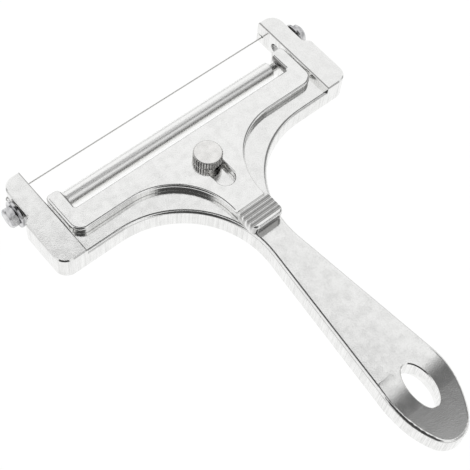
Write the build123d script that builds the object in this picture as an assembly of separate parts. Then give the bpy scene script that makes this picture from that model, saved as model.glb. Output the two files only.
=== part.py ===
from build123d import *
import math
import os

# Adjustable wire cheese slicer, in millimetres.
# +X runs along the wire, +Y from the handle to the wire, +Z up.
# The origin is under the middle of the slicer, level with its lowest point, the tip of the handle.
# Places along the tool are given as a setback from the front tips of the cheeks,
# or from the handle's tip.

# Frame casting, plan
overall_length = 156.0
wire_span = 104.0
cheek_front_width = 7.6
cheek_rear_width = 9.9
cheek_depth = 37.5
cheek_front_radius = 4.8
cheek_rear_radius = 4.6
cheek_step_length = 1.9
cheek_step_radius = 1.4
arm_front_setback = 27.8
arm_sweep_radius = 33.0
arm_root_in_cheek = 4.0
handle_half_width = 12.3
handle_widest_from_tip = 21.2
handle_tip_radius = 8.6
handle_taper_degrees = 6.1

# Frame casting, heights and edges
arm_thickness = 7.3
cheek_height = 9.7
handle_bend_from_tip = 21.1
handle_bend_degrees = 15.5
handle_bend_radius = 42.0
top_edge_radius = 1.4
bottom_edge_bevel = 0.5
cheek_edge_bevel = 0.45
front_edge_bevel = 0.4

# Hanging hole in the handle
hang_hole_from_tip = 19.55
hang_hole_length = 15.6
hang_hole_width = 8.2
hang_hole_bevel = 0.35

# Wire tension screws, with hexagon heads, and their washers
tension_setback = 9.85
tension_height = 4.5
tension_diameter = 4.0
tension_engagement = 5.2
hex_across_flats = 7.0
hex_head_height = 2.9
hex_chamfer = 1.0
hex_turn_degrees = 30.0
washer_diameter = 10.0
washer_thickness = 1.0
washer_bore_clearance = 0.15
washer_to_step = 0.75

# Cutting wire, its saw-cut slits and the eyelets at its ends
wire_diameter = 0.5
wire_sides = 8
wire_setback = 2.8
wire_height = 4.35
wire_bend_radius = 0.9
wire_pinch = 0.1
slit_gap = 0.7
slit_beyond_wire = 0.5
eyelet_neck_length = 4.6
eyelet_neck_gap = 0.1
eyelet_tail_length = 1.2

# Roller and its axle
roller_diameter = 6.5
roller_setback = 16.1
roller_height = 5.0
roller_end_gap = 1.3
roller_shift = 1.0
roller_end_chamfer = 0.4
axle_diameter = 3.0
axle_end_recess = 0.2

# Slide plate with its two ears
plate_thickness = 2.7
plate_side_gap = 0.7
plate_overlap = 3.4
plate_corner_radius = 4.8
plate_sweep_radius = 23.2
plate_neck_half_width = 6.4
plate_edge_bevel = 0.6
notch_roller_gap = 2.95
notch_edge_radius = 1.3
ear_width = 5.5
ear_front_wall = 1.5
ear_low_wall = 1.6
ear_corner_radius = 1.8
ear_low_bevel = 0.4
ear_rear_clearance = 1.4

# Thumb grip at the rear end of the plate
grip_lead = 0.65
grip_ramp_length = 2.6
grip_height = 1.7
grip_rear_lean = 0.6
grip_corner_radius = 2.4
grip_side_bevel = 0.8
ramp_radius = 2.6
ramp_turn = 50.0
rib_count = 5
rib_pitch = 1.7
rib_land = 0.3
rib_depth = 0.45
rib_to_rear = 1.5

# Thumb screw that clamps the plate, and the plate's slot
thumb_from_arm_front = 6.3
thumb_diameter = 6.0
thumb_head_diameter = 10.2
thumb_head_height = 3.6
thumb_head_chamfer = 0.75
thumb_end_recess = 0.6
knurl_count = 36
knurl_depth = 0.3
slot_side_clearance = 0.45
slot_travel = 9.15

# Clearances
running_clearance = 0.06
wire_wrap_clearance = 0.1
overrun = 1.0
tiny = 0.001

# Worked-out places along the tool, as setbacks
handle_widest_setback = overall_length - handle_widest_from_tip
handle_bend_setback = overall_length - handle_bend_from_tip
hang_hole_setback = overall_length - hang_hole_from_tip
cheek_step_setback = tension_setback + washer_diameter / 2 + washer_to_step
ear_front_setback = roller_setback - axle_diameter / 2 - ear_front_wall
notch_setback = roller_setback + roller_diameter / 2 + notch_roller_gap
plate_rear_setback = arm_front_setback + plate_overlap
thumb_setback = arm_front_setback + thumb_from_arm_front
rib_front_setback = plate_rear_setback + plate_sweep_radius + grip_lead + grip_ramp_length
grip_top_rear_setback = rib_front_setback + rib_land / 2 + (rib_count - 1) * rib_pitch + rib_to_rear
grip_rear_setback = grip_top_rear_setback - grip_rear_lean
plate_end_setback = (rib_front_setback + grip_rear_setback) / 2

# Worked-out places across the tool
cheek_inner_x = wire_span / 2
cheek_front_x = cheek_inner_x + cheek_front_width
cheek_rear_x = cheek_inner_x + cheek_rear_width
wire_side_x = cheek_front_x + wire_pinch + wire_diameter / 2
washer_x = wire_side_x + wire_diameter / 2 + wire_pinch
plate_half_width = cheek_inner_x - plate_side_gap
notch_half_width = plate_half_width - ear_width
roller_length = 2 * (notch_half_width - roller_end_gap)
shank_radius = tension_diameter / 2

# Worked-out heights
front_y = overall_length / 2
taper = math.radians(handle_taper_degrees)
bend = math.radians(handle_bend_degrees)
underside_z = handle_bend_from_tip * math.tan(bend) - bottom_edge_bevel * math.sin(bend)
arm_top_z = underside_z + arm_thickness
plate_top_z = arm_top_z + plate_thickness
grip_top_z = plate_top_z + grip_height
wire_z = underside_z + wire_height
tension_z = underside_z + tension_height
roller_z = underside_z + roller_height


def y_at(setback):
    """Y of a place that lies this far behind the front tips of the cheeks."""
    return front_y - setback


def bar_side_profile():
    """Side view of arms and handle: a strip of even thickness whose end bends down."""
    start_y = y_at(0)
    bend_y = y_at(handle_bend_setback)
    end_y = y_at(overall_length + overrun)
    end_drop = (bend_y - end_y) * math.tan(bend)
    with BuildSketch(Plane.YZ) as profile:
        with BuildLine():
            low = FilletPolyline(
                (start_y, underside_z),
                (bend_y, underside_z),
                (end_y, underside_z - end_drop),
                radius=handle_bend_radius,
            )
            high = FilletPolyline(
                (start_y, arm_top_z),
                (bend_y, arm_top_z),
                (end_y, arm_top_z - end_drop),
                radius=handle_bend_radius + arm_thickness,
            )
            Line(low @ 0, high @ 0)
            Line(low @ 1, high @ 1)
        make_face()
    return profile.sketch


def bar_outline():
    """Plan of arms and handle: straight rear edge, swept root, tapered grip and oval end."""
    tip_y = y_at(overall_length)
    rear_y = y_at(cheek_depth)
    wide_y = y_at(handle_widest_setback)
    tip_centre = Vector(0, tip_y + handle_tip_radius)
    rise = wide_y - tip_centre.Y
    side_radius = (handle_half_width**2 + rise**2 - handle_tip_radius**2) / (
        2 * (handle_half_width - handle_tip_radius)
    )
    side_centre = Vector(handle_half_width - side_radius, wide_y)
    outward = Vector(math.cos(taper), math.sin(taper))
    taper_end = side_centre + outward * side_radius
    sweep_y = rear_y - arm_sweep_radius
    reach = taper_end.dot(outward) + arm_sweep_radius
    sweep_centre = Vector((reach - sweep_y * outward.Y) / outward.X, sweep_y)
    taper_start = sweep_centre - outward * arm_sweep_radius
    sweep_start = Vector(sweep_centre.X, rear_y)
    sweep_middle_angle = (math.pi / 2 + math.pi + taper) / 2
    sweep_middle = sweep_centre + Vector(math.cos(sweep_middle_angle), math.sin(sweep_middle_angle)) * arm_sweep_radius
    to_tip = (tip_centre - side_centre).normalized()
    side_end = side_centre + to_tip * side_radius
    side_middle = side_centre + (outward + to_tip).normalized() * side_radius
    tip_middle = tip_centre + (to_tip + Vector(0, -1)).normalized() * handle_tip_radius
    root_x = cheek_inner_x + arm_root_in_cheek
    with BuildSketch(Plane.XY) as outline:
        with BuildLine():
            Line((0, y_at(arm_front_setback)), (root_x, y_at(arm_front_setback)))
            Line((root_x, y_at(arm_front_setback)), (root_x, rear_y))
            Line((root_x, rear_y), sweep_start)
            ThreePointArc(sweep_start, sweep_middle, taper_start)
            Line(taper_start, taper_end)
            ThreePointArc(taper_end, side_middle, side_end)
            ThreePointArc(side_end, tip_middle, (0, tip_y))
            mirror(about=Plane.YZ)
        make_face()
    return outline.sketch


def bar_middle_z(y):
    """Height of the middle of the arms and handle at this Y."""
    past_bend = max(0, y_at(handle_bend_setback) - y)
    return underside_z + arm_thickness / 2 - past_bend * math.tan(bend)


def outer_edges(body, upper):
    """Edges along the outline's sides on the upper or the lower face, without the bend's seams."""

    def wanted(edge):
        centre = edge.center()
        straight = edge.geom_type == GeomType.LINE
        along_x = straight and abs(edge.tangent_at(0).X) > math.cos(taper / 2)
        upright = straight and abs(edge.tangent_at(0).Z) > math.cos(taper / 2)
        seam = along_x and abs(centre.X) < arm_root_in_cheek
        end_face = abs(abs(centre.X) - cheek_inner_x - arm_root_in_cheek) < tiny
        return not (upright or seam or end_face) and (centre.Z > bar_middle_z(centre.Y)) == upper

    return body.edges().filter_by(wanted)


def bar():
    """Arms and handle in one casting, with rounded edges and the hanging hole."""
    tall = extrude(Pos(0, 0, -overrun) * bar_outline(), amount=arm_top_z + 2 * overrun)
    strip = extrude(bar_side_profile(), amount=cheek_rear_x, both=True)
    body = (tall & strip).solids()[0]
    front = body.edges().filter_by(Axis.X).filter_by(lambda e: abs(e.center().Y - y_at(arm_front_setback)) < tiny)
    body = chamfer(front, front_edge_bevel)
    body = fillet(outer_edges(body, upper=True), top_edge_radius)
    body = chamfer(outer_edges(body, upper=False), bottom_edge_bevel)
    oval = Pos(0, y_at(hang_hole_setback), -overrun) * Ellipse(hang_hole_width / 2, hang_hole_length / 2)
    body = body - extrude(oval, amount=arm_top_z + 2 * overrun)
    rim = body.edges().filter_by(
        lambda e: e.geom_type not in (GeomType.LINE, GeomType.CIRCLE)
        and abs(e.center().X) < hang_hole_width / 2
        and abs(e.center().Y - y_at(hang_hole_setback)) < hang_hole_length / 2
        and e.center().Z > bar_middle_z(e.center().Y)
    )
    return chamfer(rim, hang_hole_bevel)


def cheek():
    """Right-hand cheek: a slim nose for the wire screw, a broad heel and eased rims."""
    with BuildSketch(Plane.XY) as outline:
        with BuildLine():
            FilletPolyline(
                (cheek_inner_x, y_at(0)),
                (cheek_front_x, y_at(0)),
                (cheek_front_x, y_at(cheek_step_setback)),
                (cheek_rear_x, y_at(cheek_step_setback + cheek_step_length)),
                (cheek_rear_x, y_at(cheek_depth)),
                (cheek_inner_x, y_at(cheek_depth)),
                radius=[
                    0,
                    cheek_front_radius,
                    cheek_step_radius,
                    cheek_step_radius,
                    cheek_rear_radius,
                    0,
                ],
                close=True,
            )
        make_face()
    block = extrude(Pos(0, 0, underside_z) * outline.sketch, amount=cheek_height)
    return chamfer(block.faces().filter_by(Axis.Z).edges(), cheek_edge_bevel)


def frame():
    """The casting: two cheeks, two swept arms and the handle, with its slits and screw holes."""
    right = cheek()
    body = bar() + right + mirror(right, about=Plane.YZ)
    slit_depth = wire_setback + slit_beyond_wire
    slit = Pos(0, y_at(slit_depth / 2) + overrun / 2, wire_z) * Box(
        2 * (cheek_rear_x + overrun), slit_depth + overrun, slit_gap
    )
    screw_hole = Pos(0, y_at(tension_setback), tension_z) * Rot(0, 90, 0) * Cylinder(
        shank_radius + running_clearance, 2 * (cheek_rear_x + overrun)
    )
    thumb_hole = Pos(0, y_at(thumb_setback), underside_z + arm_thickness / 2) * Cylinder(
        thumb_diameter / 2 + running_clearance, arm_thickness + 2 * overrun
    )
    return body - slit - screw_hole - thumb_hole


def plate_outline():
    """Plan of the slide plate: roller notch between two ears, swept rear edge and narrow neck."""
    rear_y = y_at(plate_rear_setback)
    end_y = y_at(plate_end_setback)
    sweep_centre = Vector(plate_neck_half_width + plate_sweep_radius, rear_y - plate_sweep_radius)
    sweep_start = Vector(sweep_centre.X, rear_y)
    sweep_middle = sweep_centre + Vector(-1, 1).normalized() * plate_sweep_radius
    sweep_end = Vector(plate_neck_half_width, sweep_centre.Y)
    corner = plate_half_width - plate_corner_radius
    with BuildSketch(Plane.XY) as outline:
        with BuildLine():
            Line((0, y_at(notch_setback)), (notch_half_width, y_at(notch_setback)))
            FilletPolyline(
                (notch_half_width, y_at(notch_setback)),
                (notch_half_width, y_at(ear_front_setback)),
                (plate_half_width, y_at(ear_front_setback)),
                (plate_half_width, rear_y + plate_corner_radius),
                radius=ear_corner_radius,
            )
            RadiusArc((plate_half_width, rear_y + plate_corner_radius), (corner, rear_y), plate_corner_radius)
            Line((corner, rear_y), sweep_start)
            ThreePointArc(sweep_start, sweep_middle, sweep_end)
            Polyline(sweep_end, (plate_neck_half_width, end_y), (0, end_y))
            mirror(about=Plane.YZ)
        make_face()
    return outline.sketch


def grip():
    """Raised thumb grip: a hollow ramp, cross ribs with scalloped gaps and a leaning rear wall."""
    rear_y = y_at(grip_rear_setback)
    rib_front_y = y_at(rib_front_setback)
    ramp_start = (rib_front_y + grip_ramp_length, plate_top_z)
    with BuildSketch(Plane.YZ) as profile:
        with BuildLine():
            Polyline(
                (rib_front_y, grip_top_z),
                (y_at(grip_top_rear_setback), grip_top_z),
                (rear_y, arm_top_z),
                (rib_front_y + grip_ramp_length, arm_top_z),
                ramp_start,
            )
            ramp = JernArc(start=ramp_start, tangent=(-1, 0), radius=ramp_radius, arc_size=-ramp_turn)
            Line(ramp @ 1, (rib_front_y, grip_top_z))
        make_face()
    block = extrude(profile.sketch, amount=plate_neck_half_width, both=True)
    corners = block.edges().filter_by(
        lambda e: e.center().Y < rear_y
        and abs(abs(e.center().X) - plate_neck_half_width) < tiny
        and abs(e.tangent_at(0).Z) > abs(e.tangent_at(0).Y)
    )
    block = fillet(corners, grip_corner_radius)
    rim = block.edges().filter_by(
        lambda e: abs(e.center().Z - grip_top_z) < tiny and abs(e.center().X) > grip_side_bevel
    )
    block = chamfer(rim, grip_side_bevel)
    gap_half = (rib_pitch - rib_land) / 2
    scallop_radius = (gap_half**2 + rib_depth**2) / (2 * rib_depth)
    for index in range(rib_count - 1):
        gap_y = rib_front_y - rib_land / 2 - (index + 1 / 2) * rib_pitch
        scallop = Pos(0, gap_y, grip_top_z + scallop_radius - rib_depth) * Rot(0, 90, 0) * Cylinder(
            scallop_radius, 2 * plate_neck_half_width
        )
        block = block - scallop
    return block


def ear():
    """Right-hand ear below the plate: a deep lug that carries one end of the axle."""
    low_z = roller_z - axle_diameter / 2 - ear_low_wall
    length = arm_front_setback - ear_rear_clearance - ear_front_setback
    place = Pos(notch_half_width + ear_width / 2, y_at(ear_front_setback + length / 2), low_z)
    lug = extrude(
        place * RectangleRounded(ear_width, length, ear_corner_radius),
        amount=arm_top_z + plate_thickness / 2 - low_z,
    )
    return chamfer(lug.faces().sort_by(Axis.Z)[0].edges(), ear_low_bevel)


def slide_plate():
    """The adjusting plate: flat plate, two deep ears for the axle, slot and thumb grip."""
    body = extrude(Pos(0, 0, arm_top_z) * plate_outline(), amount=plate_thickness)
    rim = body.faces().sort_by(Axis.Z)[-1].edges().filter_by(
        lambda e: e.center().Y > y_at(plate_end_setback) + tiny and abs(e.center().X) > tiny
    )
    body = chamfer(rim, plate_edge_bevel)
    round_size = 2 * notch_edge_radius
    notch_round = Box(2 * notch_half_width, round_size, round_size, align=(Align.CENTER, Align.MIN, Align.MIN))
    notch_round = notch_round - Rot(0, 90, 0) * Cylinder(notch_edge_radius, 2 * notch_half_width)
    body = body - Pos(0, y_at(notch_setback) - notch_edge_radius, plate_top_z - notch_edge_radius) * notch_round
    right_ear = ear()
    body = body + right_ear + mirror(right_ear, about=Plane.YZ) + grip()
    axle_hole = Pos(0, y_at(roller_setback), roller_z) * Rot(0, 90, 0) * Cylinder(
        axle_diameter / 2, 2 * (plate_half_width + overrun)
    )
    slot_width = thumb_diameter + 2 * slot_side_clearance
    slot = extrude(
        Pos(0, y_at(thumb_setback) - slot_travel / 2, arm_top_z - overrun)
        * Rot(0, 0, 90) * SlotCenterToCenter(slot_travel, slot_width),
        amount=plate_thickness + 2 * overrun,
    )
    return body - axle_hole - slot


def roller():
    """Plain turned roller, bored to run on its axle and lying near the left end of its play."""
    tube = Cylinder(roller_diameter / 2, roller_length) - Cylinder(
        axle_diameter / 2 + running_clearance, roller_length + overrun
    )
    rims = tube.edges().filter_by(GeomType.CIRCLE).group_by(SortBy.RADIUS)[-1]
    tube = chamfer(rims, roller_end_chamfer)
    return Pos(-roller_shift, y_at(roller_setback), roller_z) * Rot(0, 90, 0) * tube


def roller_axle():
    """Straight steel pin pressed into both ears."""
    pin = Cylinder(axle_diameter / 2, 2 * (plate_half_width - axle_end_recess))
    return Pos(0, y_at(roller_setback), roller_z) * Rot(0, 90, 0) * pin


def knurled_outline():
    """Plan of the thumb screw's head: one shallow notch for each knurl."""
    outer = thumb_head_diameter / 2
    points = []
    for index in range(2 * knurl_count):
        radius = outer - knurl_depth * (index % 2)
        angle = math.pi * index / knurl_count
        points.append((radius * math.cos(angle), radius * math.sin(angle)))
    return make_face(Polyline(*points, close=True))


def thumb_screw():
    """Knurled clamping screw, turned in one piece with its shank."""
    head = extrude(knurled_outline(), amount=thumb_head_height)
    outer = thumb_head_diameter / 2
    blank = Cylinder(outer, thumb_head_height, align=(Align.CENTER, Align.CENTER, Align.MIN))
    blank = chamfer(blank.edges().group_by(Axis.Z)[-1], thumb_head_chamfer)
    shank_length = arm_thickness + plate_thickness - thumb_end_recess
    shank = Cylinder(thumb_diameter / 2, shank_length, align=(Align.CENTER, Align.CENTER, Align.MAX))
    return Pos(0, y_at(thumb_setback), plate_top_z) * ((head & blank) + shank)


def tension_screw():
    """Right-hand hexagon screw that draws up and holds the end of the wire."""
    head_x = washer_x + washer_thickness
    inner_x = cheek_front_x - tension_engagement
    shank = Cylinder(shank_radius, head_x - inner_x, align=(Align.CENTER, Align.CENTER, Align.MIN))
    corner_radius = hex_across_flats / math.sqrt(3)
    head = extrude(RegularPolygon(corner_radius, 6, rotation=hex_turn_degrees), amount=hex_head_height)
    cone = Cylinder(corner_radius, hex_head_height, align=(Align.CENTER, Align.CENTER, Align.MIN))
    cone = chamfer(cone.edges().group_by(Axis.Z)[-1], hex_chamfer)
    place = Pos(0, y_at(tension_setback), tension_z) * Rot(0, 90, 0)
    return place * (Pos(0, 0, inner_x) * shank + Pos(0, 0, head_x) * (head & cone))


def washer():
    """Right-hand plain washer that traps the wire against the cheek."""
    ring = Cylinder(washer_diameter / 2, washer_thickness) - Cylinder(
        shank_radius + washer_bore_clearance, washer_thickness + overrun
    )
    return Pos(washer_x + washer_thickness / 2, y_at(tension_setback), tension_z) * Rot(0, 90, 0) * ring


def touching_point(start, centre, radius, side):
    """Where a line from this start touches the circle about this centre, above (+1) or below (-1)."""
    reach = centre - start
    heading = math.atan2(reach.Z, reach.Y) - side * math.asin(radius / reach.length)
    along = Vector(0, math.cos(heading), math.sin(heading))
    return start + along * math.sqrt(reach.length**2 - radius**2)


def cutting_wire():
    """One taut wire through both slits, bent back along each cheek, with an eyelet round each screw."""
    wrap_radius = shank_radius + wire_wrap_clearance + wire_diameter / 2
    start = Vector(0, y_at(wire_setback), wire_z)
    corner = Vector(wire_side_x, y_at(wire_setback), wire_z)
    centre = Vector(wire_side_x, y_at(tension_setback), tension_z)
    inward = (centre - corner).normalized()
    upward = Vector(0, inward.Z, -inward.Y)
    neck = centre - inward * eyelet_neck_length
    tail_neck = neck - upward * (wire_diameter + eyelet_neck_gap)
    tail_end = tail_neck - inward * eyelet_tail_length
    upper_touch = touching_point(neck, centre, wrap_radius, 1)
    lower_touch = touching_point(tail_neck, centre, wrap_radius, -1)
    path = Wire(
        [
            *FilletPolyline(start, corner, neck, upper_touch, radius=wire_bend_radius).edges(),
            ThreePointArc(upper_touch, centre + inward * wrap_radius, lower_touch),
            *FilletPolyline(lower_touch, tail_neck, tail_end, radius=wire_bend_radius).edges(),
        ]
    )
    section = Plane(origin=start, z_dir=(1, 0, 0)) * RegularPolygon(wire_diameter / 2, wire_sides)
    half = sweep(section, path=path)
    return half + mirror(half, about=Plane.YZ)


def write(name, shape):
    """One file for each node; its solids are named after it."""
    shape.label = name
    export_step(shape, os.path.join("parts", name + ".step"))


os.makedirs("parts", exist_ok=True)
right_screw = tension_screw()
right_washer = washer()
write("frame", frame())
write("slide_plate", slide_plate())
write("roller", roller())
write("roller_axle", roller_axle())
write("thumb_screw", thumb_screw())
write("cutting_wire", cutting_wire())
write("tension_screw_right", right_screw)
write("tension_screw_left", mirror(right_screw, about=Plane.YZ))
write("washer_right", right_washer)
write("washer_left", mirror(right_washer, about=Plane.YZ))
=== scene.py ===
import math

import bmesh
import bpy
import numpy as np
from mathutils import Matrix, Vector
from mathutils.geometry import tessellate_polygon


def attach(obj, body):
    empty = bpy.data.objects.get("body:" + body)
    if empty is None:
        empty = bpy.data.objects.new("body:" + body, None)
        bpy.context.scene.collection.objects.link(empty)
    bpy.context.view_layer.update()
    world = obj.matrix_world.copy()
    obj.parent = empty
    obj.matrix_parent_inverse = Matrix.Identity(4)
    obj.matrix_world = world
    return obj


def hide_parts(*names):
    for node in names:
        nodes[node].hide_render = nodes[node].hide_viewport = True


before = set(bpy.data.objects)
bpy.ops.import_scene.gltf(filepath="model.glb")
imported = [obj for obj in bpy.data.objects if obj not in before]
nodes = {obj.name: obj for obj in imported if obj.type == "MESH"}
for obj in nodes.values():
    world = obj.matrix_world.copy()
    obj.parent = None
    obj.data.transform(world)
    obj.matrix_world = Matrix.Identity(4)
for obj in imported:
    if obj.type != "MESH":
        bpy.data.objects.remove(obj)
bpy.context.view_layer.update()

# Camera
# A long lens above the left cheek, turned and rolled as the photograph was taken.
# Its place is given from the middle of the slicer's lowest level.
photo_side = 470
lens_in_pixels = 1170.6
sensor_width = 36.0
turn = math.radians(46.363)
drop = math.radians(59.683)
roll = math.radians(-7.05)
camera_place = (-0.14925, -0.11532, 0.34027)
forward = Vector((math.cos(drop) * math.sin(turn), math.cos(drop) * math.cos(turn), -math.sin(drop)))
level_right = forward.cross(Vector((0, 0, 1))).normalized()
level_up = level_right.cross(forward)
right = math.cos(roll) * level_right - math.sin(roll) * level_up
up = math.sin(roll) * level_right + math.cos(roll) * level_up
camera = bpy.data.objects.new("camera", bpy.data.cameras.new("camera"))
camera.data.sensor_width = sensor_width
camera.data.lens = lens_in_pixels / photo_side * sensor_width
camera.data.clip_start = 0.01
camera.data.clip_end = 20
placed = Matrix((right, up, -forward)).transposed().to_4x4()
placed.translation = camera_place
camera.matrix_world = placed
bpy.context.scene.collection.objects.link(camera)
bpy.context.scene.camera = camera

# Frame casting
# One aluminium die casting: the handle, two swept arms and the two cheeks that hold the wire.
# It is ground along its sides on a belt, then tumbled until it shines.
mm = 0.001
casting_colour = "#f6f6f5"
cloud_colour = "#f0f0ef"
groove_colour = "#b0b0ae"
pit_colour = "#9a9997"
# Painted shade: the colour that crevices, rib gaps, walls in shade and the cheeks' inner rims are darkened
# towards.
painted_shade_colour = "#777675"
casting_roughness = (0.10, 0.17)
cloud_size = 3.0 * mm
cloud_height = 0.0014 * mm
cloud_range = (0.4, 0.66)
sheen_range = (0.35, 0.65)
# The real grinding lines are 0.1 mm apart; these are drawn coarser so that they show. Their shares say
# how much they tint the flat top and the steep sides.
grinding_pitch = 0.45 * mm
grinding_height = 0.003 * mm
grinding_run = 0.03
grinding_range = (0.42, 0.7)
grinding_shares = (0.22, 0.42)
steep_range = (0.9, 0.3)
# The belt doesn't reach into the hanging hole, whose middle is at this Y.
hole_y = -58.45 * mm
hole_reach = 9.0 * mm
pit_size = 1.3 * mm
pit_range = (0.69, 0.75)
pit_share = 0.8
# Tumbling leaves a grain, seen where the metal mirrors an edge between light and dark.
grain_size = 0.42 * mm
grain_height = 0.014 * mm
# A painted dark line of shade runs along the inner rim of each cheek.
rim_shade_x = 52.25 * mm
rim_shade_reach = 0.25 * mm
rim_shade_low = 15.1 * mm
rim_shade_share = 0.75
weld_reach = 0.001 * mm
crisp_angle = math.radians(40)


def linear(hex_colour):
    """Linear RGBA of an sRGB hex colour: c / 12.92 below 0.04045, else ((c + 0.055) / 1.055) ** 2.4."""
    channels = [int(hex_colour[i : i + 2], 16) / 255 for i in (1, 3, 5)]
    return tuple(c / 12.92 if c <= 0.04045 else ((c + 0.055) / 1.055) ** 2.4 for c in channels) + (1.0,)


def add(tree, kind, settings=None, **inputs):
    """A new node: settings are its properties; each input gets a value, or a link from a socket."""
    node = tree.nodes.new("ShaderNode" + kind)
    for key, value in (settings or {}).items():
        setattr(node, key, value)
    for key, value in inputs.items():
        socket = node.inputs[int(key[1:])] if key[1:].isdigit() else node.inputs[key.replace("_", " ")]
        if isinstance(value, bpy.types.NodeSocket):
            tree.links.new(value, socket)
        else:
            socket.default_value = value
    return node


def new_material(name):
    """An empty material: the material, its tree and the place that each object point has."""
    material = bpy.data.materials.new(name)
    material.use_nodes = True
    material.node_tree.nodes.clear()
    return material, material.node_tree, add(material.node_tree, "TexCoord").outputs["Object"]


def show(tree, surface):
    """The shader goes to the material's output."""
    tree.links.new(surface, tree.nodes.new("ShaderNodeOutputMaterial").inputs[0])


def tumbled_aluminium(name, colour, roughness, offset):
    """Die-cast aluminium, ground and tumbled: a soft mirror with faint clouds and a fine grain, lines
    down its sides that are only specks on top and that the hanging hole is without, a few darker pits,
    and painted shade along the cheeks' inner rims and wherever a piece's shade attribute marks a
    crevice, a rib gap or a wall in shade."""
    material, tree, place = new_material(name)
    spot = add(tree, "Mapping", Vector=place, Location=offset).outputs[0]
    cloud = add(tree, "TexNoise", Vector=spot, Scale=1 / cloud_size, Detail=5.0, Roughness=0.6)
    run = add(tree, "Mapping", Vector=spot, Scale=(1, 1, grinding_run))
    lines = add(tree, "TexNoise", Vector=run.outputs[0], Scale=1 / grinding_pitch, Detail=4.0, Roughness=0.7)
    pits = add(tree, "TexNoise", Vector=run.outputs[0], Scale=1 / pit_size, Detail=6.0, Roughness=0.8)
    upright = add(tree, "SeparateXYZ", Vector=add(tree, "NewGeometry").outputs["Normal"]).outputs["Z"]
    steep = add(tree, "Math", {"operation": "ABSOLUTE"}, i0=upright)
    depth = add(
        tree,
        "MapRange",
        Value=steep.outputs[0],
        i1=steep_range[0],
        i2=steep_range[1],
        i3=grinding_shares[0],
        i4=grinding_shares[1],
    )
    from_hole = add(tree, "VectorMath", {"operation": "DISTANCE"}, i0=place, i1=(0, hole_y, 0))
    on_belt = add(tree, "Math", {"operation": "GREATER_THAN"}, i0=from_hole.outputs["Value"], i1=hole_reach)
    reached = add(tree, "Math", {"operation": "MULTIPLY"}, i0=depth.outputs[0], i1=on_belt.outputs[0])
    grooved = add(
        tree,
        "MapRange",
        Value=lines.outputs[0],
        i1=grinding_range[0],
        i2=grinding_range[1],
        i3=0.0,
        i4=reached.outputs[0],
    )
    pitted = add(
        tree, "MapRange", Value=pits.outputs[0], i1=pit_range[0], i2=pit_range[1], i3=0.0, i4=pit_share
    )
    clouded = add(
        tree, "MapRange", Value=cloud.outputs[0], i1=cloud_range[0], i2=cloud_range[1], i3=0.0, i4=1.0
    )
    pale = add(tree, "MixRGB", i0=clouded.outputs[0], i1=linear(colour), i2=linear(cloud_colour))
    worn = add(tree, "MixRGB", i0=grooved.outputs[0], i1=pale.outputs[0], i2=linear(groove_colour))
    marked = add(tree, "MixRGB", i0=pitted.outputs[0], i1=worn.outputs[0], i2=linear(pit_colour))
    # Painted shade from each point's shade attribute darkens the colour.
    painted_shade = add(tree, "Attribute", {"attribute_name": "painted_shade"}).outputs["Fac"]
    apart = add(tree, "SeparateXYZ", Vector=place).outputs
    across = add(tree, "Math", {"operation": "ABSOLUTE"}, i0=apart["X"])
    # Painted shade: a dark line along each cheek's inner rim, high on the cheek.
    by_rim = add(tree, "Math", {"operation": "COMPARE"}, i0=across.outputs[0], i1=rim_shade_x, i2=rim_shade_reach)
    high = add(tree, "Math", {"operation": "GREATER_THAN"}, i0=apart["Z"], i1=rim_shade_low)
    rim_shade = add(tree, "Math", {"operation": "MULTIPLY"}, i0=by_rim.outputs[0], i1=high.outputs[0])
    rim_shade_amount = add(tree, "Math", {"operation": "MULTIPLY"}, i0=rim_shade.outputs[0], i1=rim_shade_share)
    darker = add(tree, "Math", {"operation": "MAXIMUM"}, i0=painted_shade, i1=rim_shade_amount.outputs[0])
    tint = add(tree, "MixRGB", i0=darker.outputs[0], i1=marked.outputs[0], i2=linear(painted_shade_colour))
    rough = add(
        tree,
        "MapRange",
        Value=cloud.outputs[0],
        i1=sheen_range[0],
        i2=sheen_range[1],
        i3=roughness[0],
        i4=roughness[1],
    )
    waves = add(tree, "Bump", Height=cloud.outputs[0], Strength=1.0, Distance=cloud_height)
    grooves = add(
        tree,
        "Bump",
        Height=lines.outputs[0],
        Strength=on_belt.outputs[0],
        Distance=grinding_height,
        Normal=waves.outputs[0],
    )
    grain = add(tree, "TexNoise", Vector=spot, Scale=1 / grain_size, Detail=2.0, Roughness=0.6)
    grained = add(
        tree,
        "Bump",
        Height=grain.outputs[0],
        Strength=1.0,
        Distance=grain_height,
        Normal=grooves.outputs[0],
    )
    metal = add(
        tree,
        "BsdfPrincipled",
        Base_Color=tint.outputs[0],
        Metallic=1.0,
        Roughness=rough.outputs[0],
        Normal=grained.outputs[0],
    )
    show(tree, metal.outputs[0])
    return material


casting = nodes["frame"]
casting.data.materials.clear()
casting.data.materials.append(
    tumbled_aluminium("tumbled_cast_aluminium_frame", casting_colour, casting_roughness, (0, 0, 0))
)


def round_the_rims(piece):
    """Eased rims shade as rounded edges, because their normals lean to the large faces they meet."""
    rounded = piece.modifiers.new("rounded", "WEIGHTED_NORMAL")
    rounded.mode = "FACE_AREA_WITH_ANGLE"
    rounded.keep_sharp = True


weld = casting.modifiers.new("weld", "WELD")
weld.merge_threshold = weld_reach
split = casting.modifiers.new("crisp", "EDGE_SPLIT")
split.split_angle = crisp_angle
split.use_edge_sharp = False
round_the_rims(casting)

# Slide plate
# A second aluminium die casting: a flat plate with a roller notch, two deep ears for the axle, a slot
# for the clamping screw and a ribbed thumb grip. Its upper rim is rounded all the way round.
# Places across are X; places along are setbacks behind the cheeks' front tips.
front_y = 78.0
plate_low = 13.018
plate_top = 15.718
plate_half_width = 51.3
plate_rear = 31.2
plate_corner = 4.8
plate_sweep = 23.2
neck_half_width = 6.4
notch_half_width = 45.8
notch_rear = 22.3
notch_corner = 0.6
notch_rounding = 1.1
rim_rounding = 0.95
foot_rounding = 0.3
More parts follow.
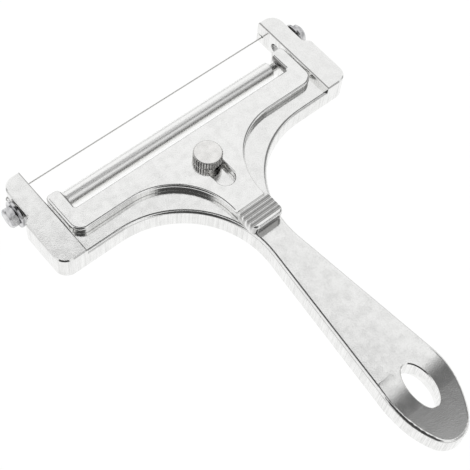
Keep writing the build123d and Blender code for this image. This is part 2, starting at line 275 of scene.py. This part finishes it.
# Shares of painted shade: at the foot of the walls, in the rib gaps, on the notch's walls and the ears' inner
# rims, and on the grip's rear wall.
foot_shade_share = 0.9
rib_gap_shade_share = 0.7
notch_shade_share = 0.9
rear_shade_share = 0.75
wall_share = 0.7
ear_shadow_line_fall = 0.14
ear_shadow_line_margin = 0.2
ear_shadow_line_reach = 0.01
ear_front = 13.1
ear_rear = 26.4
ear_corner = 1.8
ear_low = 7.618
ear_rounding = 0.5
slot_half_width = 3.45
slot_front = 34.1
slot_travel = 9.15
slot_rounding = 0.5
grip_start = 55.05
rib_front = 57.65
rib_land = 0.3
rib_pitch = 1.7
rib_depth = 0.45
rib_count = 5
grip_top = 17.418
grip_rear = 66.1
grip_corner = 2.4
grip_lean = 0.6
lean_run = 3.0
ramp_radius = 2.6
ramp_turn = math.radians(50)
crest_blur = 0.12
crest_slack = 0.05
profile_end = 80.0
profile_step = 0.02
neck_step = 0.1
neck_margin = 0.3
arc_step = math.radians(4)
foot_steps = 5
rim_steps = 8
tiny = 0.001
merge_reach = 0.0005
sharp_angle = math.radians(38)
plate_colour = "#f9f9f8"
plate_roughness = (0.07, 0.14)
plate_offset = (0.37, 0.11, 0.0)


def make_piece(name, patches, body, material, stands_for, eased=0.0):
    """One object from patches (points in mm, faces, and how much painted shade each point gets). Points
    that meet are merged, faces are turned outwards, and edges sharper than sharp_angle stay crisp, or
    are eased by this much."""
    points = [np.reshape(patch[0], (-1, 3)) for patch in patches]
    starts = np.cumsum([0] + [len(some) for some in points])
    faces = [face for patch, start in zip(patches, starts) for face in (patch[1] + start).tolist()]
    painted_shade = [
        np.ravel(patch[2]) if len(patch) > 2 else np.zeros(len(some)) for patch, some in zip(patches, points)
    ]
    mesh = bpy.data.meshes.new(name)
    mesh.from_pydata((np.concatenate(points) * mm).tolist(), [], faces)
    mesh.attributes.new("painted_shade", "FLOAT", "POINT").data.foreach_set("value", np.concatenate(painted_shade))
    shell = bmesh.new()
    shell.from_mesh(mesh)
    bmesh.ops.remove_doubles(shell, verts=shell.verts, dist=merge_reach * mm)
    bmesh.ops.recalc_face_normals(shell, faces=shell.faces)
    shell.to_mesh(mesh)
    shell.free()
    mesh.set_sharp_from_angle(angle=sharp_angle)
    mesh.materials.append(material)
    piece = bpy.data.objects.new(name, mesh)
    bpy.context.scene.collection.objects.link(piece)
    if eased:
        bevel = piece.modifiers.new("eased", "BEVEL")
        bevel.width = eased * mm
        bevel.segments = 2
        bevel.limit_method = "ANGLE"
        bevel.angle_limit = sharp_angle
    round_the_rims(piece)
    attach(piece, body)
    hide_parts(stands_for)


def quads(rows, columns, round_rows=False, round_columns=False):
    """Faces of a grid of points, row by row: each joins a point to the next row and column, and a
    direction that runs round joins its last line to its first."""
    row = np.arange(rows if round_rows else rows - 1)[:, None]
    column = np.arange(columns if round_columns else columns - 1)[None, :]
    next_row = (row + 1) % rows
    next_column = (column + 1) % columns
    corners = [
        row * columns + column,
        row * columns + next_column,
        next_row * columns + next_column,
        next_row * columns + column,
    ]
    return np.stack(corners, axis=-1).reshape(-1, 4)


def flat_face(*rings):
    """A flat patch bounded by the first ring of points, with the other rings as its holes."""
    loops = [[Vector(point) for point in ring.tolist()] for ring in rings]
    return np.concatenate(rings), np.array(tessellate_polygon(loops))


def arc(centre_x, centre_y, radius, first, last, side=1):
    """Points radius * (cos a, sin a) about the centre, with a running from first to last in degrees,
    and the directions out of the metal: away from the centre, or towards it for side -1."""
    first, last = math.radians(first), math.radians(last)
    a = np.linspace(first, last, 2 + int(abs(last - first) / arc_step))
    out = np.stack([np.cos(a), np.sin(a)], axis=-1)
    return np.array([centre_x, centre_y]) + radius * out, side * out


def rounded_rim(outline, outward, foot, rounding, low, top_level):
    """A wall with rounded edges along an outline: a quarter circle of radius foot at its low edge, and
    one of radius rounding at its top, each carrying it in by r * (1 - cos t) and out by r * sin t.
    top_level gives the height for each Y and fall from the top. Also gives how deep the foot lies."""
    quarter_turn = math.pi / 2
    t = np.concatenate([np.linspace(-quarter_turn, 0, foot_steps), np.linspace(0, quarter_turn, rim_steps)])
    upper = np.arange(len(t)) >= foot_steps
    radius = np.where(upper, np.broadcast_to(rounding, len(outline))[:, None], np.reshape(foot, (-1, 1)))
    plan = outline[:, None, :] - outward[:, None, :] * (radius * (1 - np.cos(t)))[..., None]
    upper_level = top_level(plan[..., 1], radius * (1 - np.sin(t)))
    height = np.where(upper, upper_level, low + radius * (1 + np.sin(t)))
    depth = np.where(upper, 0.0, np.clip(-np.sin(t), 0, 1)) * (radius > 0)
    return np.concatenate([plan, height[..., None]], axis=-1), depth


def grip_profile():
    """Side view of the grip's top: plate level, a hollow ramp, and ribs with round gaps, then flat.
    Gives setbacks, the level of the block before its gaps, and the level of the gaps' floors."""
    setback = np.arange(0, profile_end, profile_step)
    past = setback - grip_start
    hollow = ramp_radius * math.sin(ramp_turn)
    bend = ramp_radius - np.sqrt(np.maximum(ramp_radius**2 - np.clip(past, 0, hollow) ** 2, 0))
    ramp_end = ramp_radius * (1 - math.cos(ramp_turn))
    run = rib_front - grip_start - hollow
    straight = ramp_end + np.clip((past - hollow) / run, 0, 1) * (grip_top - plate_top - ramp_end)
    block = plate_top + np.where(past > hollow, straight, bend)
    gap = (setback - rib_front - rib_land / 2) / rib_pitch
    half = (rib_pitch - rib_land) / 2
    scallop = (half**2 + rib_depth**2) / (2 * rib_depth)
    across = ((gap % 1) - 0.5) * rib_pitch
    floor = grip_top + scallop - rib_depth - np.sqrt(np.maximum(scallop**2 - across**2, 0))
    crest = grip_top + crest_slack
    floor = np.where((gap > 0) & (gap < rib_count - 1), np.minimum(floor, crest), crest)
    blur_steps = int(crest_blur / profile_step)
    floor = np.convolve(floor, np.ones(blur_steps) / blur_steps, mode="same")
    return setback, block, floor


def mirrored(points):
    """The same points on the other side, in the opposite order along the outline."""
    return (points * np.array([-1.0, 1.0, 1.0]))[::-1]


setback, block, floor = grip_profile()


def grip_level(y, fallen):
    """Top of the plate and grip at this Y: the block less what the rim has fallen, or the gap's floor."""
    return np.minimum(
        np.interp(front_y - y, setback, block) - fallen,
        np.interp(front_y - y, setback, floor),
    )


notch_y = front_y - notch_rear
ear_front_y = front_y - ear_front
rear_y = front_y - plate_rear
grip_rear_y = front_y - grip_rear
neck_y = np.arange(rear_y - plate_sweep, grip_rear_y + grip_corner, -neck_step)[1:]
neck_run = np.stack([np.full_like(neck_y, neck_half_width), neck_y], axis=-1)
runs = [
    (np.array([[0.0, notch_y]]), np.array([[0.0, 1.0]])),
    arc(notch_half_width - notch_corner, notch_y + notch_corner, notch_corner, -90, 0, side=-1),
    arc(notch_half_width + ear_corner, ear_front_y - ear_corner, ear_corner, 180, 90),
    arc(plate_half_width - ear_corner, ear_front_y - ear_corner, ear_corner, 90, 0),
    arc(plate_half_width - plate_corner, rear_y + plate_corner, plate_corner, 0, -90),
    arc(neck_half_width + plate_sweep, rear_y - plate_sweep, plate_sweep, 90, 180, side=-1),
    (neck_run, np.tile([1.0, 0.0], (len(neck_run), 1))),
    arc(neck_half_width - grip_corner, grip_rear_y + grip_corner, grip_corner, 0, -90),
    (np.array([[0.0, grip_rear_y]]), np.array([[0.0, -1.0]])),
]
outline = np.concatenate([run[0] for run in runs])
outward = np.concatenate([run[1] for run in runs])
by_notch = np.arange(len(outline)) < len(runs[0][0]) + len(runs[1][0])
along_ear = (outline[:, 1] > front_y - ear_rear) & ~by_notch
rounding = np.where(by_notch, notch_rounding, rim_rounding)
foot = np.where(along_ear, 0, foot_rounding)
rim, depth = rounded_rim(outline, outward, foot, rounding, plate_low, grip_level)
behind = front_y - rim[..., 1]
in_gap = np.interp(behind, setback, block) - np.interp(behind, setback, floor)
in_gap = np.clip(in_gap / rib_depth, 0, 1) * (rim[..., 2] > plate_top)
lean = np.clip((behind - grip_rear + lean_run) / lean_run, 0, 1) * grip_lean
rim[..., 1] += lean * np.clip((grip_top - rim[..., 2]) / (grip_top - plate_low), 0, 1)
slot_y = front_y - slot_front
stadium = np.concatenate(
    [
        np.concatenate(arc(0, slot_y, slot_half_width, 0, 180, side=-1), axis=-1),
        np.concatenate(arc(0, slot_y - slot_travel, slot_half_width, 180, 360, side=-1), axis=-1),
    ]
)
slot_rim, slot_depth = rounded_rim(
    stadium[:, :2],
    stadium[:, 2:],
    foot_rounding,
    slot_rounding,
    plate_low,
    lambda y, fallen: plate_top - fallen,
)
by_neck = np.abs(outline[:, 0] - neck_half_width) < tiny
on_neck = (front_y - outline[:, 1] > grip_start - neck_margin) & by_neck
flat_until = int(np.argmax(on_neck))
upper_ring = np.concatenate([rim[: flat_until + 1, -1], mirrored(rim[: flat_until + 1, -1])])
lower_ring = np.concatenate([rim[:, 0], mirrored(rim[:, 0])])
grip_side = rim[flat_until:, -1]
# Painted shade: the foot of each wall, the rib gaps and the notch's lower walls are darkened.
rib_shade = np.repeat(in_gap[flat_until:, -1], 2) * rib_gap_shade_share
shade = np.maximum(depth * foot_shade_share, in_gap * rib_gap_shade_share)
notch_wall = by_notch[:, None] & (rim[..., 2] < plate_top - notch_rounding * wall_share)
shade = np.where(notch_wall, notch_shade_share, shade)
# Painted shade darkens the grip's rear wall.
rear_wall = np.clip(-outward[:, 1], 0, 1) * (outline[:, 1] < grip_rear_y + grip_corner)
rear_shade = rear_wall[:, None] * (rim[..., 2] < grip_top - rim_rounding * wall_share) * rear_shade_share
shade = np.maximum(shade, rear_shade)
# A painted shadow line darkens the ears' inner rims, beside the roller's ends.
by_ear = np.abs(outline[:, 0] - notch_half_width) < ear_shadow_line_reach
fallen = plate_top - rim[..., 2]
ear_shadow_line = by_ear[:, None] & (fallen > ear_shadow_line_fall) & (fallen < rim_rounding + ear_shadow_line_margin)
shade = np.where(ear_shadow_line, notch_shade_share, shade)
patches = [
    (rim, quads(*rim.shape[:2]), shade),
    (rim * [-1, 1, 1], quads(*rim.shape[:2]), shade),
    # The slot's foot gets painted shade too.
    (slot_rim, quads(*slot_rim.shape[:2], round_rows=True), slot_depth * foot_shade_share),
    (np.stack([grip_side, grip_side * [-1, 1, 1]], axis=1), quads(len(grip_side), 2), rib_shade),
    flat_face(upper_ring, slot_rim[:, -1]),
    flat_face(lower_ring, slot_rim[:, 0]),
]
ear_x = (notch_half_width + plate_half_width) / 2
ear_half = (plate_half_width - notch_half_width) / 2 - ear_corner
ear_y = (ear_front_y - ear_corner, front_y - ear_rear + ear_corner)
for side in (1, -1):
    lug_runs = [
        arc(side * ear_x + ear_half, ear_y[0], ear_corner, 90, 0),
        arc(side * ear_x + ear_half, ear_y[1], ear_corner, 0, -90),
        arc(side * ear_x - ear_half, ear_y[1], ear_corner, -90, -180),
        arc(side * ear_x - ear_half, ear_y[0], ear_corner, 180, 90),
    ]
    lug_outline = np.concatenate([run[0] for run in lug_runs])
    lug_outward = np.concatenate([run[1] for run in lug_runs])
    lug = rounded_rim(lug_outline, lug_outward, ear_rounding, 0, ear_low, lambda y, fallen: plate_low)[0]
    patches += [
        (lug, quads(*lug.shape[:2], round_rows=True)),
        flat_face(lug[:, 0]),
        flat_face(lug[:, -1]),
    ]
plate_metal = tumbled_aluminium("tumbled_cast_aluminium_plate", plate_colour, plate_roughness, plate_offset)
make_piece("slide_plate_casting", patches, "plate", plate_metal, "slide_plate")

# Roller and axle
# A plain aluminium roller, turned and polished, with eased ends. It spins on a straight steel pin that
# is pressed through both ears, and lies near the left end of its play.
roller_y = front_y - 16.1
roller_z = 10.718
roller_radius = 3.25
roller_bore = 1.56
roller_ends = (-45.5, 43.5)
roller_end_rounding = 0.45
axle_radius = 1.5
axle_half_length = 51.35
axle_dome = 0.25
bore_land = 0.2
turned_sides = 72
quarter_steps = 7
turning_pitch = 0.5 * mm
turning_height = 0.0002 * mm
ring_stretch = 0.02
ring_range = (0.3, 0.7)
roller_colour = "#fefefd"
roller_roughness = (0.27, 0.32)
pin_colour = "#c9c9c8"
pin_roughness = (0.2, 0.3)


def turned(height, radius, sides=turned_sides):
    """Rings about the Z axis: each point is (r cos a, r sin a, h), with r and h one number for each
    ring, or one for each ring and angle."""
    a = np.arange(sides) * 2 * math.pi / sides
    height = np.reshape(height, (len(height), -1)) * np.ones(sides)
    radius = np.reshape(radius, (len(height), -1)) * np.ones(sides)
    return np.stack([radius * np.cos(a), radius * np.sin(a), height], axis=-1)


def along_x(points, y, z, side=1):
    """Turned points laid along X, with their own Z axis towards this side."""
    return np.stack([side * points[..., 2], y + points[..., 0], z + points[..., 1]], axis=-1)


def quarter(centre_height, centre_radius, radius, first, last):
    """Profile points on a quarter circle, as height and radius, from one angle to another in degrees."""
    a = np.radians(np.linspace(first, last, quarter_steps))
    return np.stack([centre_height + radius * np.sin(a), centre_radius + radius * np.cos(a)], axis=-1)


def turned_rod(name, colour, roughness, pitch, height):
    """Metal turned round its own length, along X: a soft sheen with fine rings across it."""
    material, tree, place = new_material(name)
    across = add(tree, "Mapping", Vector=place, Scale=(1, ring_stretch, ring_stretch))
    rings = add(tree, "TexNoise", Vector=across.outputs[0], Scale=1 / pitch, Detail=3.0, Roughness=0.6)
    rough = add(
        tree,
        "MapRange",
        Value=rings.outputs[0],
        i1=ring_range[0],
        i2=ring_range[1],
        i3=roughness[0],
        i4=roughness[1],
    )
    grooves = add(tree, "Bump", Height=rings.outputs[0], Strength=1.0, Distance=height)
    metal = add(
        tree, "BsdfPrincipled", Base_Color=linear(colour), Metallic=1.0, Roughness=rough.outputs[0],
        Normal=grooves.outputs[0],
    )
    show(tree, metal.outputs[0])
    return material


rim_line = roller_radius - roller_end_rounding
profile = np.concatenate(
    [
        [[roller_ends[0], roller_bore], [roller_ends[0], roller_bore + bore_land]],
        quarter(roller_ends[0] + roller_end_rounding, rim_line, roller_end_rounding, -90, 0),
        quarter(roller_ends[1] - roller_end_rounding, rim_line, roller_end_rounding, 0, 90),
        [[roller_ends[1], roller_bore + bore_land], [roller_ends[1], roller_bore]],
    ]
)
tube = along_x(turned(profile[:, 0], profile[:, 1]), roller_y, roller_z)
tube_faces = quads(*tube.shape[:2], True, True)
roller_metal = turned_rod(
    "fine_turned_aluminium", roller_colour, roller_roughness, turning_pitch, turning_height
)
make_piece("turned_roller", [(tube, tube_faces)], "roller", roller_metal, "roller")
dome = np.radians(np.linspace(0, 90, quarter_steps))
profile_height = axle_half_length - axle_dome * (1 - np.cos(dome))
profile_radius = axle_radius * np.sin(dome)
pin_height = np.concatenate([-profile_height, profile_height[::-1]])
pin_radius = np.concatenate([profile_radius, profile_radius[::-1]])
pin = along_x(turned(pin_height, pin_radius), roller_y, roller_z)
pin_faces = quads(*pin.shape[:2], False, True)
pin_metal = turned_rod("ground_steel_pin", pin_colour, pin_roughness, turning_pitch, turning_height)
make_piece("axle_pin", [(pin, pin_faces)], "plate", pin_metal, "roller_axle")

# Thumb screw
# A nickel-plated steel screw that clamps the plate through its slot. Its head has 36 straight knurls
# and a flat, finely turned top; its M6 thread runs down into the arm.
thumb_y = front_y - 34.1
head_radius = 5.1
head_foot = 15.718
head_height = 3.6
head_chamfer = 0.4
knurls = 36
knurl_depth = 0.3
# Shares of painted shade in the knurl grooves and on the top chamfer's dark ring.
knurl_shade_share = 0.85
chamfer_shade_share = 0.7
thread_radius = 3.0
thread_depth = 0.45
thread_pitch = 1.0
thread_low = 6.318
thread_stop = 0.4
thread_steps = 8
run_out_share = 0.3
shank_rise = 0.2
head_gap = 0.02
face_band = 0.1
knurl_steps = 8
patch_size = 2.2 * mm
dulling_range = (0.4, 0.6)
# The third nickel colour is painted shade for the knurl grooves and the top chamfer.
nickel_colours = ("#faf9f7", "#f5f4f2", "#8b8a88")
nickel_roughness = (0.22, 0.3)
nickel_speck = 0.35 * mm
nickel_speck_height = 0.001 * mm


def threaded(low, high, radius, depth, pitch, sides):
    """Heights and radii of a right-hand thread: r falls by a triangle wave of h / pitch - a / turn,
    which grows from nothing over the first pitch."""
    height = np.arange(low, high, pitch / thread_steps)
    a = np.arange(sides) / sides
    phase = (height[:, None] / pitch - a) % 1
    eased = np.clip((height[:, None] - low) / pitch, 0, 1)
    return height, radius - depth * eased * np.abs(2 * phase - 1) - run_out_share * depth * (1 - eased)


def plated_steel(name, colour, dull_colour, groove_shade_colour, roughness, speck, speck_height):
    """Plated steel: brighter and duller patches, with a fine grain from the plating bath, and painted
    shade where the piece's shade attribute marks grooves and chamfers."""
    material, tree, place = new_material(name)
    patch = add(tree, "TexNoise", Vector=place, Scale=1 / patch_size, Detail=3.0)
    grain = add(tree, "TexNoise", Vector=place, Scale=1 / speck, Detail=3.0, Roughness=0.7)
    dulled = add(
        tree, "MapRange", Value=patch.outputs[0], i1=dulling_range[0], i2=dulling_range[1], i3=0.0, i4=1.0
    )
    patched = add(tree, "MixRGB", i0=dulled.outputs[0], i1=linear(colour), i2=linear(dull_colour))
    painted_shade = add(tree, "Attribute", {"attribute_name": "painted_shade"}).outputs["Fac"]
    tint = add(tree, "MixRGB", i0=painted_shade, i1=patched.outputs[0], i2=linear(groove_shade_colour))
    rough = add(
        tree,
        "MapRange",
        Value=patch.outputs[0],
        i1=sheen_range[0],
        i2=sheen_range[1],
        i3=roughness[0],
        i4=roughness[1],
    )
    grooves = add(tree, "Bump", Height=grain.outputs[0], Strength=1.0, Distance=speck_height)
    metal = add(
        tree, "BsdfPrincipled", Base_Color=tint.outputs[0], Metallic=1.0, Roughness=rough.outputs[0],
        Normal=grooves.outputs[0],
    )
    show(tree, metal.outputs[0])
    return material


sides = knurls * knurl_steps
wave = 1 - np.abs(((np.arange(sides) / knurl_steps) % 1) * 2 - 1)
knurled = head_radius - knurl_depth * np.sqrt(wave)
thread_height, thread = threaded(
    thread_low, head_foot - thread_stop, thread_radius, thread_depth, thread_pitch, sides
)
top = head_foot + head_height
face_radius = head_radius - head_chamfer * 3 / 2
blank = [
    (head_foot - shank_rise, thread_radius),
    (head_foot + head_gap, thread_radius),
    (head_foot + head_gap, head_radius - head_chamfer),
    (head_foot + head_chamfer, head_radius),
    (top - head_chamfer, head_radius),
    (top - head_chamfer / 4, head_radius - head_chamfer * 3 / 4),
    (top, face_radius),
    (top, face_radius - face_band),
    (top, face_radius / 2),
    (top, 0.0),
]
head_heights = np.array([step[0] for step in blank])
head = np.minimum(np.array([step[1] for step in blank])[:, None], knurled)
heights = np.concatenate([[thread_low], thread_height, head_heights])
radii = np.concatenate([np.zeros((1, sides)), thread, head])
screw = turned(heights, radii, sides) + [0, thumb_y, 0]
# Painted shade in the knurl grooves and a painted dark ring on the top chamfer.
knurl_shade = (head_radius - knurled) / knurl_depth * knurl_shade_share * (head == knurled)
on_chamfer = (head_heights > top - head_chamfer) & (head_heights < top)
knurl_shade = np.maximum(knurl_shade, on_chamfer[:, None] * chamfer_shade_share)
knurl_shade = np.concatenate([np.zeros((1 + len(thread), sides)), knurl_shade])
thumb_metal = plated_steel(
    "nickel_plated_steel", *nickel_colours, nickel_roughness, nickel_speck, nickel_speck_height
)
make_piece(
    "knurled_thumb_screw", [(screw, quads(*screw.shape[:2], False, True), knurl_shade)], "thumb_screw",
    thumb_metal, "thumb_screw",
)

# Cutting wire
# One length of 0.5 mm drawn stainless wire. It lies in a saw cut in each cheek, bends back along the
# cheek's side and ends in an eyelet round the tension screw.
wire_radius = 0.25
wire_y = front_y - 2.8
wire_z = 10.068
wire_side_x = 59.95
wire_bend = 0.9
eye_y = front_y - 9.85
eye_z = 10.218
eye_radius = 2.35
eye_neck = 4.6
strand_gap = 0.6
tail_length = 1.2
wire_lead = 5.0
wire_sides = 12
bend_steps = 9
eye_steps = 40
wire_colour = "#d6d5d3"
wire_roughness = (0.25, 0.4)


def bent(start, corner, end, radius):
    """Points on the arc of this radius that joins two straight runs at a corner."""
    back = (start - corner) / np.linalg.norm(start - corner)
    onward = (end - corner) / np.linalg.norm(end - corner)
    half = math.acos(np.dot(back, onward)) / 2
    centre = corner + (back + onward) / np.linalg.norm(back + onward) * radius / math.sin(half)
    first = corner + back * radius / math.tan(half) - centre
    across = corner + onward * radius / math.tan(half) - centre
    swing = math.pi - 2 * half
    side = (across - first * math.cos(swing)) / math.sin(swing)
    a = np.linspace(0, swing, bend_steps)[:, None]
    return centre + first * np.cos(a) + side * np.sin(a)


def round_eye(centre, inward, upward, first, last):
    """Points on the eyelet: its radius times (inward * cos a + upward * sin a) about the screw."""
    a = np.linspace(first, last, eye_steps)[:, None]
    return centre + eye_radius * (inward * np.cos(a) + upward * np.sin(a))


corner = np.array([wire_side_x, wire_y, wire_z])
eye = np.array([wire_side_x, eye_y, eye_z])
inward = (eye - corner) / np.linalg.norm(eye - corner)
upward = np.array([0, inward[2], -inward[1]])
neck = eye - inward * eye_neck
tail_neck = neck - upward * strand_gap
tail_end = tail_neck - inward * tail_length
upper_swing = math.pi - math.acos(eye_radius / eye_neck)
lower_reach = math.hypot(eye_neck, strand_gap)
lower_swing = math.pi - math.acos(eye_radius / lower_reach) + math.atan2(strand_gap, eye_neck)
loop = round_eye(eye, inward, upward, upper_swing, -lower_swing)
first_run = bent(corner - [wire_lead, 0, 0], corner, neck, wire_bend)
path = np.concatenate(
    [
        [[0, wire_y, wire_z]],
        first_run,
        bent(corner, neck, loop[0], wire_bend),
        loop,
        bent(loop[-1], tail_neck, tail_end, wire_bend),
        [tail_end],
    ]
)
heading = np.gradient(path, axis=0)
heading /= np.linalg.norm(heading, axis=1)[:, None]
past_bend = (np.arange(len(path)) > len(first_run) - 1)[:, None]
sideways = np.where(past_bend, [1.0, 0, 0], np.cross(heading, upward))
lift = np.cross(sideways, heading)
lift /= np.linalg.norm(lift, axis=1)[:, None]
a = np.arange(wire_sides)[:, None] * 2 * math.pi / wire_sides
ring = lift[:, None, :] * np.cos(a) + sideways[:, None, :] * np.sin(a)
strand = path[:, None, :] + wire_radius * ring
wire_metal = turned_rod("drawn_stainless_wire", wire_colour, wire_roughness, turning_pitch, turning_height)
make_piece(
    "cutting_wire_strand",
    [
        (strand, quads(*strand.shape[:2], False, True)),
        (strand * [-1, 1, 1], quads(*strand.shape[:2], False, True)),
        flat_face(strand[-1]),
        flat_face(strand[-1] * [-1, 1, 1]),
    ],
    "frame", wire_metal, "cutting_wire",
)

# Washers and tension screws
# At each end a zinc-plated M4 hexagon screw goes through a plain punched washer, which traps the wire's
# eyelet against the cheek. The heads have a turned chamfer that cuts their six corners.
washer_x = 60.3
washer_thickness = 1.0
washer_radius = 5.0
washer_bore = 2.15
washer_rounding = 0.25
washer_edge = 0.1
hex_half_flats = 3.5
hex_corner = 4.0415
hex_height = 2.9
hex_chamfer = 1.0
hex_edge = 0.12
shank_radius = 2.0
shank_start = 54.4
shank_thread_depth = 0.3
shank_pitch = 0.7
shank_stop = 0.3
hex_sides = 96
# The third zinc colour is for painted shade, which the washers and hexagon screws don't carry.
zinc_colours = ("#d8d8d9", "#aeaeb0", "#6a6a6b")
zinc_roughness = (0.06, 0.14)
zinc_speck = 0.3 * mm
zinc_speck_height = 0.001 * mm

zinc = plated_steel("zinc_plated_steel", *zinc_colours, zinc_roughness, zinc_speck, zinc_speck_height)
head_x = washer_x + washer_thickness
head_end = head_x + hex_height
washer_profile = np.concatenate(
    [
        [
            [washer_x, washer_bore],
            [washer_x, washer_radius - washer_edge],
            [washer_x + washer_edge, washer_radius],
        ],
        quarter(head_x - washer_rounding, washer_radius - washer_rounding, washer_rounding, 0, 90),
        [[head_x, washer_bore]],
    ]
)
washer_shape = turned(washer_profile[:, 0], washer_profile[:, 1])
a = np.arange(hex_sides) * 2 * math.pi / hex_sides
hexagon = hex_half_flats / np.cos(a % (math.pi / 3) - math.pi / 6)
hex_face_radius = hex_corner - hex_chamfer
shank_height, shank = threaded(
    shank_start, head_x - shank_stop, shank_radius, shank_thread_depth, shank_pitch, hex_sides
)
all_round = np.ones(hex_sides)
head_rings = [
    (head_x * all_round, shank_radius * all_round),
    (head_x * all_round, (hex_half_flats - hex_edge) * all_round),
    (head_x + hex_edge + hexagon - hex_half_flats, hexagon),
    (head_end - hexagon + hex_face_radius, hexagon),
    (head_end * all_round, hex_face_radius * all_round),
    (head_end * all_round, hex_face_radius / 2 * all_round),
    (head_end * all_round, 0 * all_round),
]
ring_heights = [height for height, radius in head_rings]
ring_radii = [radius for height, radius in head_rings]
bolt_heights = np.concatenate([[shank_start * all_round], shank_height[:, None] * all_round, ring_heights])
bolt_radii = np.concatenate([[0 * all_round], shank, ring_radii])
bolt = turned(bolt_heights, bolt_radii, hex_sides)
for name, side in (("left", -1), ("right", 1)):
    washer = along_x(washer_shape, eye_y, eye_z, side)
    make_piece(
        "punched_washer_" + name, [(washer, quads(*washer.shape[:2], True, True))], "frame",
        zinc, "washer_" + name,
    )
    hex_screw = along_x(bolt, eye_y, eye_z, side)
    make_piece(
        "hexagon_screw_" + name, [(hex_screw, quads(*hex_screw.shape[:2], False, True))],
        "tension_screw_" + name, zinc, "tension_screw_" + name, eased=hex_edge,
    )

# Table and room
# A white table that the slicer lies on, and a bright tent round it. Dark cards in the tent give the
# metal its grey bands; the camera sees them nowhere.
table_half = 3.0
table_glow = 0.92
table_level = 1.06
table_colour = "#f7f7f7"
tent_level = 0.95
horizon_height = 0.3
horizon_share = 0.3
# Each card: azimuth and angle from overhead in degrees, radius and soft edge in degrees, level.
cards = [
    (220.0, 48.0, 33.0, 5.0, 0.06),
    (-15.0, 5.0, 11.5, 4.0, 0.08),
    (63.4, 12.9, 14.5, 3.0, 0.08),
    (105.0, 20.0, 12.0, 4.0, 0.10),
    (-29.0, 29.0, 9.0, 13.0, 0.15),
    (-18.0, 52.0, 22.0, 9.0, 0.22),
    (-63.0, 61.0, 12.0, 7.0, 0.38),
]
table = bpy.data.meshes.new("table")
corners = [(x * table_half, y * table_half, 0) for x, y in ((-1, -1), (1, -1), (1, 1), (-1, 1))]
table.from_pydata(corners, [], [(0, 1, 2, 3)])
table_piece = bpy.data.objects.new("table", table)
bpy.context.scene.collection.objects.link(table_piece)
paper, tree, place = new_material("white_paper")
rays = add(tree, "LightPath").outputs
matt = add(tree, "BsdfDiffuse", Color=linear(table_colour))
glow = add(tree, "Emission", Color=(1, 1, 1, 1), Strength=table_level)
seen = add(tree, "Math", {"operation": "MAXIMUM"}, i0=rays["Is Camera Ray"], i1=rays["Is Glossy Ray"])
share = add(tree, "MapRange", Value=seen.outputs[0], i3=0.0, i4=table_glow)
mixed = add(tree, "MixShader", i0=share.outputs[0], i1=matt.outputs[0], i2=glow.outputs[0])
show(tree, mixed.outputs[0])
table.materials.append(paper)

world = bpy.data.worlds.new("tent")
bpy.context.scene.world = world
world.use_nodes = True
tree = world.node_tree
tree.nodes.clear()
facing = add(tree, "TexCoord").outputs["Generated"]
level = tent_level
for azimuth, overhead, radius, edge, dark in cards:
    azimuth, overhead = math.radians(azimuth), math.radians(overhead)
    aim = (math.sin(overhead) * math.cos(azimuth), math.sin(overhead) * math.sin(azimuth), math.cos(overhead))
    near = add(tree, "VectorMath", {"operation": "DOT_PRODUCT"}, i0=facing, i1=aim)
    card = add(
        tree,
        "MapRange",
        {"interpolation_type": "SMOOTHSTEP"},
        Value=near.outputs["Value"],
        i1=math.cos(math.radians(radius + edge / 2)),
        i2=math.cos(math.radians(radius - edge / 2)),
        i3=tent_level,
        i4=dark,
    ).outputs[0]
    level = add(tree, "Math", {"operation": "MINIMUM"}, i0=level, i1=card).outputs[0]
height = add(tree, "SeparateXYZ", Vector=facing).outputs["Z"]
dim = add(tree, "MapRange", Value=height, i1=0.0, i2=horizon_height, i3=horizon_share, i4=1.0)
level = add(tree, "Math", {"operation": "MULTIPLY"}, i0=level, i1=dim.outputs[0]).outputs[0]
rays = add(tree, "LightPath").outputs
seen = add(tree, "MixRGB", i0=rays["Is Camera Ray"], i1=level, i2=(1, 1, 1, 1))
back = add(tree, "Background", Color=seen.outputs[0], Strength=1.0)
tree.links.new(back.outputs[0], tree.nodes.new("ShaderNodeOutputWorld").inputs[0])
bpy.context.scene.view_settings.view_transform = "Standard"
